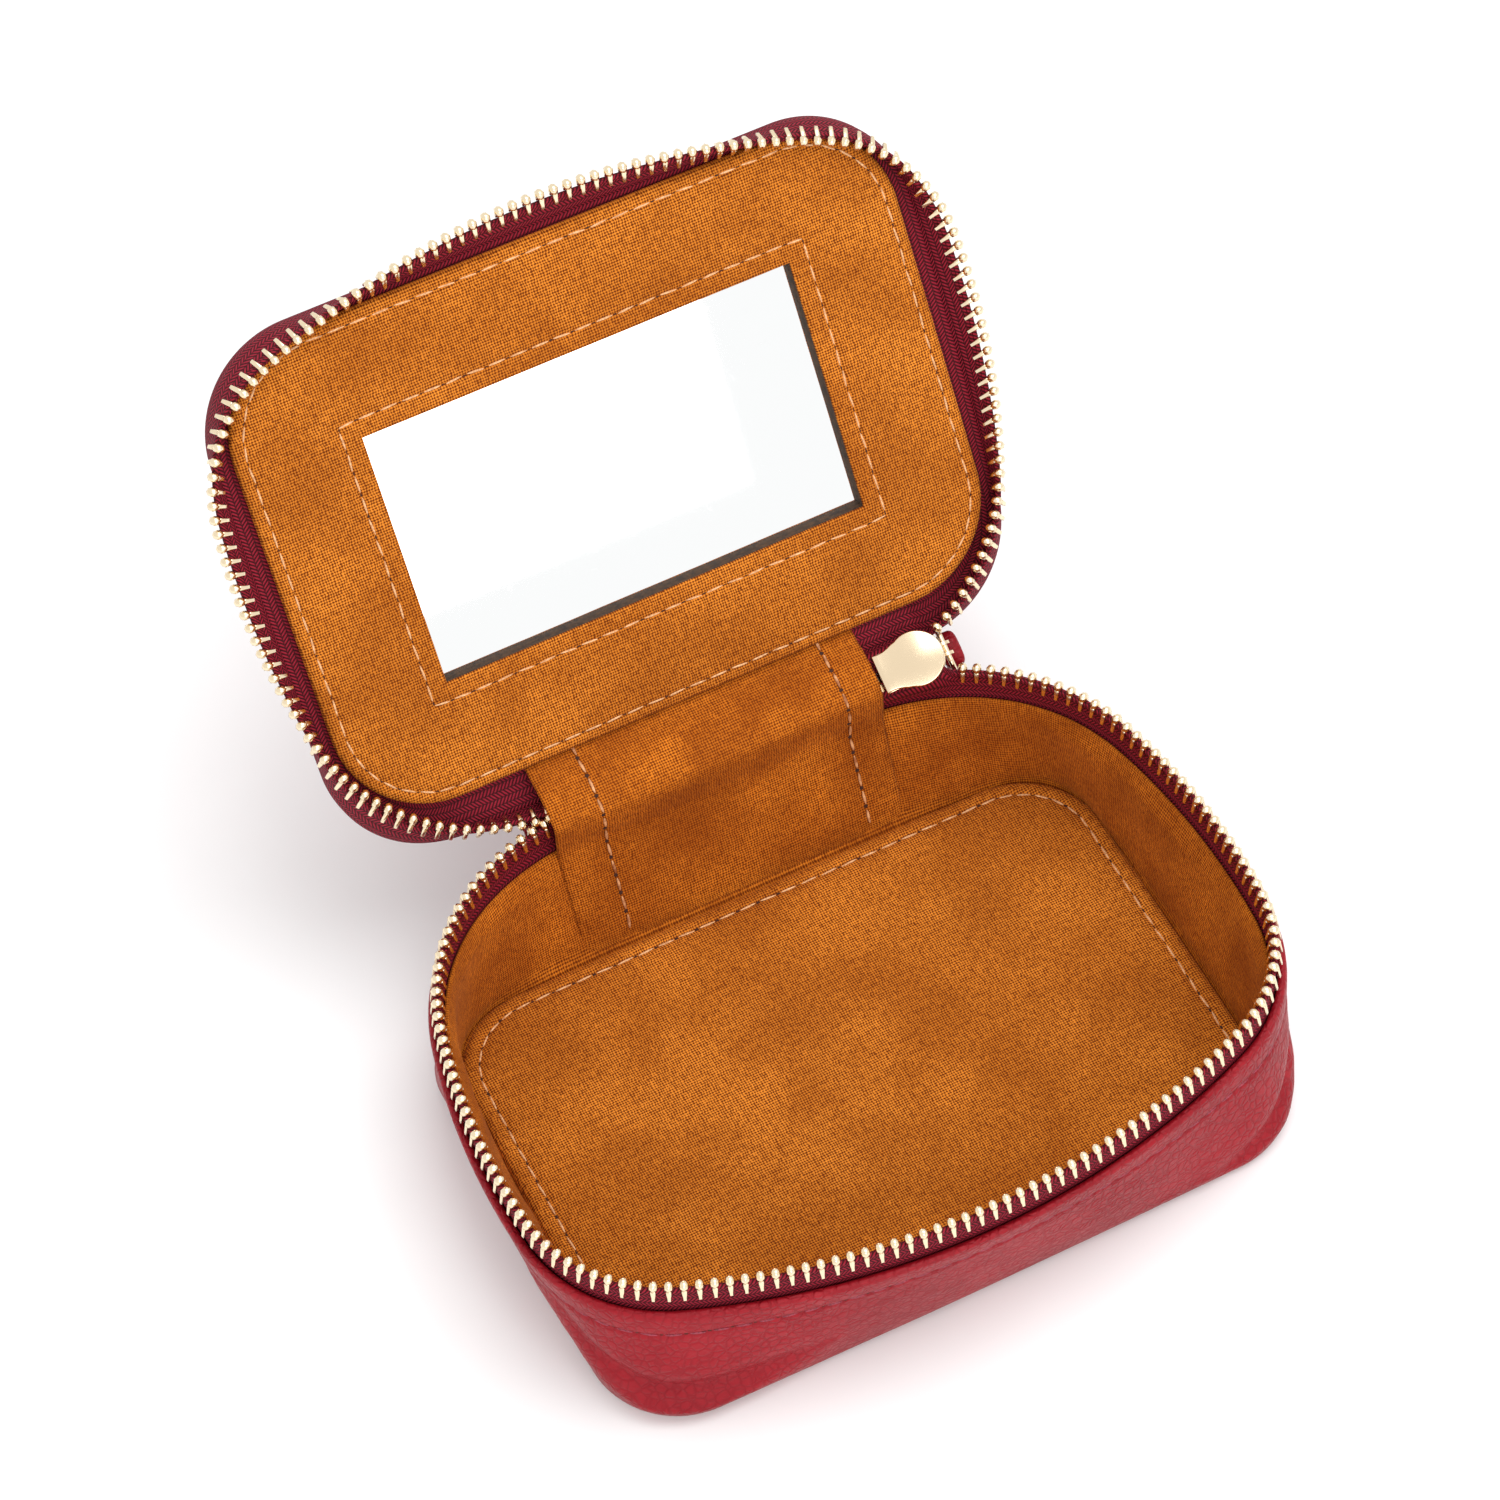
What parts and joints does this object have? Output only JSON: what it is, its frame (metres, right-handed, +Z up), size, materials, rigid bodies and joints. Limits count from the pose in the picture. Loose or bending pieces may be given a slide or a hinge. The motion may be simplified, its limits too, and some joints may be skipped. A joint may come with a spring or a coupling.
{
  "type": "zip-around jewellery case",
  "caption": "Small zip-around travel jewellery case: leather base box with padded suede floor, hinged shallow lid with framed mirror, metal zip with slider and leather pull.",
  "frame": {"origin": "middle of the flat underside, on the surface that the case stands on", "axes": "+X along the hinge and the case's length, +Y to the hinge side at the back, +Z up"},
  "size_m": [0.124, 0.1515, 0.1087],
  "materials": {
    "leather": "pebble grain, semi-gloss",
    "suede": "napped suede cloth, matte",
    "zip_tape": "woven herringbone tape, matte",
    "zip_metal": "pale gold plated, polished",
    "slider_metal": "pale gold plated, polished",
    "mirror": "silvered glass",
    "board": "bonded fibre board, matte",
    "foam": "thin white foam, matte"
  },
  "bodies": {
    "base": {"base_leather_bottom": "leather", "base_leather_wall": "leather", "base_bottom_board": "board", "base_wall_stiffener": "board", "base_lining_wall": "suede", "floor_foam": "foam", "floor_panel": "suede", "base_zip_tape": "zip_tape", "base_zip_teeth": "zip_metal", "base_top_stop": "zip_metal", "hinge_leather": "leather", "hinge_lining": "suede"},
    "lid": {"lid_leather_top": "leather", "lid_leather_wall": "leather", "lid_foam": "foam", "lid_board": "board", "mirror_card": "board", "mirror_glass": "mirror", "lid_panel_board": "board", "lid_panel_suede": "suede", "lid_zip_tape": "zip_tape", "lid_zip_teeth": "zip_metal", "lid_top_stop": "zip_metal"},
    "zip_end": {"zip_bottom_stop": "zip_metal", "zip_end_chain": "zip_metal"},
    "slider": {"zip_slider": "slider_metal"},
    "bail": {"pull_bail": "slider_metal"},
    "pull": {"pull_tab": "leather", "pull_rivet": "slider_metal"}
  },
  "joints": [
    {"name": "lid_hinge", "type": "hinge", "parent": "base", "child": "lid", "pos_m": [0, 0.04728, 0.0295], "axis": [1, 0, 0], "range_deg": [0, 121], "deforming": ["hinge_leather", "hinge_lining"]},
    {"name": "zip_end_tilt", "type": "hinge", "parent": "base", "child": "zip_end", "pos_m": [0, 0.04728, 0.0295], "axis": [1, 0, 0], "range_deg": [0, 60.5]},
    {"name": "slider_travel", "type": "slide", "parent": "zip_end", "child": "slider", "axis": [0.9703, -0.1191, 0.2106], "range_m": [0, 0.003]},
    {"name": "bail_swing", "type": "hinge", "parent": "slider", "child": "bail", "pos_m": [0.04002, 0.04751, 0.0291], "axis": [0, 0.8704, 0.4924], "range_deg": [-8, 38]},
    {"name": "pull_swing", "type": "hinge", "parent": "bail", "child": "pull", "pos_m": [0.04123, 0.0499, 0.02488], "axis": [0, 0.8704, 0.4924], "range_deg": [-20, 36]}
  ],
  "couplings": [
    {"joint": "zip_end_tilt", "follows": "lid_hinge", "ratio": 0.5}
  ]
}
